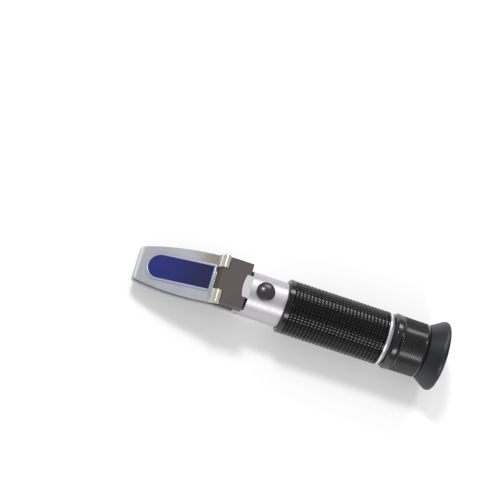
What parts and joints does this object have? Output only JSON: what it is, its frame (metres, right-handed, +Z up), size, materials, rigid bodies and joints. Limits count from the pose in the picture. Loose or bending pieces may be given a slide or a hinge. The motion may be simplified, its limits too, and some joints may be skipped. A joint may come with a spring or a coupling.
{
  "type": "refractometer",
  "caption": "Handheld optical refractometer: sloping prism head with a hinged daylight plate, round barrel with a toothed rubber grip, turning focus ring and flared eyecup.",
  "frame": {"origin": "middle of the length and width, level with the lowest point of the eyecup's rim", "axes": "+X along the optical axis towards the eyecup, +Z up out of the daylight plate's side, +Y across the instrument"},
  "size_m": [0.171, 0.0386, 0.0387],
  "materials": {
    "aluminium_satin": "satin turned aluminium",
    "aluminium_black": "black anodised",
    "rubber_grip": "matt moulded rubber",
    "rubber_cup": "smooth matt rubber",
    "rubber_plug": "soft grey-brown rubber",
    "ring_silver": "bright turned",
    "frame_silver": "satin",
    "housing_black": "matt black",
    "prism_glass": "polished blue glass",
    "block_grey": "brown-grey, satin",
    "steel": "plain steel",
    "plate_clear": "translucent silver-clear plastic",
    "pane_blue": "deep blue pane",
    "brass": "plain brass",
    "lens_glass": "coated glass",
    "strip_metal": "rolled strip"
  },
  "bodies": {
    "barrel": {"front_collar": "aluminium_satin", "main_tube": "aluminium_black", "rubber_grip": "rubber_grip", "rear_ring": "ring_silver", "prism_frame": "frame_silver", "prism_housing": "housing_black", "measuring_prism": "prism_glass", "hinge_block": "block_grey", "hinge_pin": "steel", "side_screws": "steel", "reticle": "lens_glass", "reticle_ring": "aluminium_black", "guide_pin": "steel"},
    "daylight_lid": {"daylight_plate": "plate_clear", "window_pane": "pane_blue"},
    "plug": {"sealing_plug": "rubber_plug"},
    "calibrator": {"calibration_screw": "brass"},
    "objective": {"lens_carriage": "aluminium_black", "objective_lens": "lens_glass", "bimetal_strip": "strip_metal", "strip_screws": "steel"},
    "ocular": {"ocular_cell": "aluminium_black", "field_lens": "lens_glass", "eye_lens": "lens_glass", "ocular_retainer": "aluminium_black"},
    "eyepiece": {"focus_ring": "aluminium_black", "eyecup": "rubber_cup"}
  },
  "joints": [
    {"name": "plate_hinge", "type": "hinge", "parent": "barrel", "child": "daylight_lid", "pos_m": [-0.0411, 0, 0.02975], "axis": [0, 1, 0], "range_deg": [0, 110]},
    {"name": "plug_pull", "type": "slide", "parent": "barrel", "child": "plug", "axis": [0, 0, 1], "range_m": [0, 0.012]},
    {"name": "calibration_turn", "type": "hinge", "parent": "barrel", "child": "calibrator", "pos_m": [-0.0171, 0, 0.02935], "axis": [0, 0, 1], "range_deg": [-180, 180]},
    {"name": "lens_shift", "type": "slide", "parent": "barrel", "child": "objective", "axis": [0, 0, 1], "range_m": [-0.00024, 0.00024]},
    {"name": "ocular_slide", "type": "slide", "parent": "barrel", "child": "ocular", "axis": [1, 0, 0], "range_m": [-0.0005, 0.0042]},
    {"name": "focus_turn", "type": "hinge", "parent": "ocular", "child": "eyepiece", "pos_m": [0.0645, 0, 0.01935], "axis": [1, 0, 0], "range_deg": [-35, 300]}
  ],
  "couplings": [
    {"joint": "calibration_turn", "follows": "lens_shift", "rad_per_m": 12566},
    {"joint": "ocular_slide", "follows": "focus_turn", "m_per_rad": 0.0007958}
  ]
}
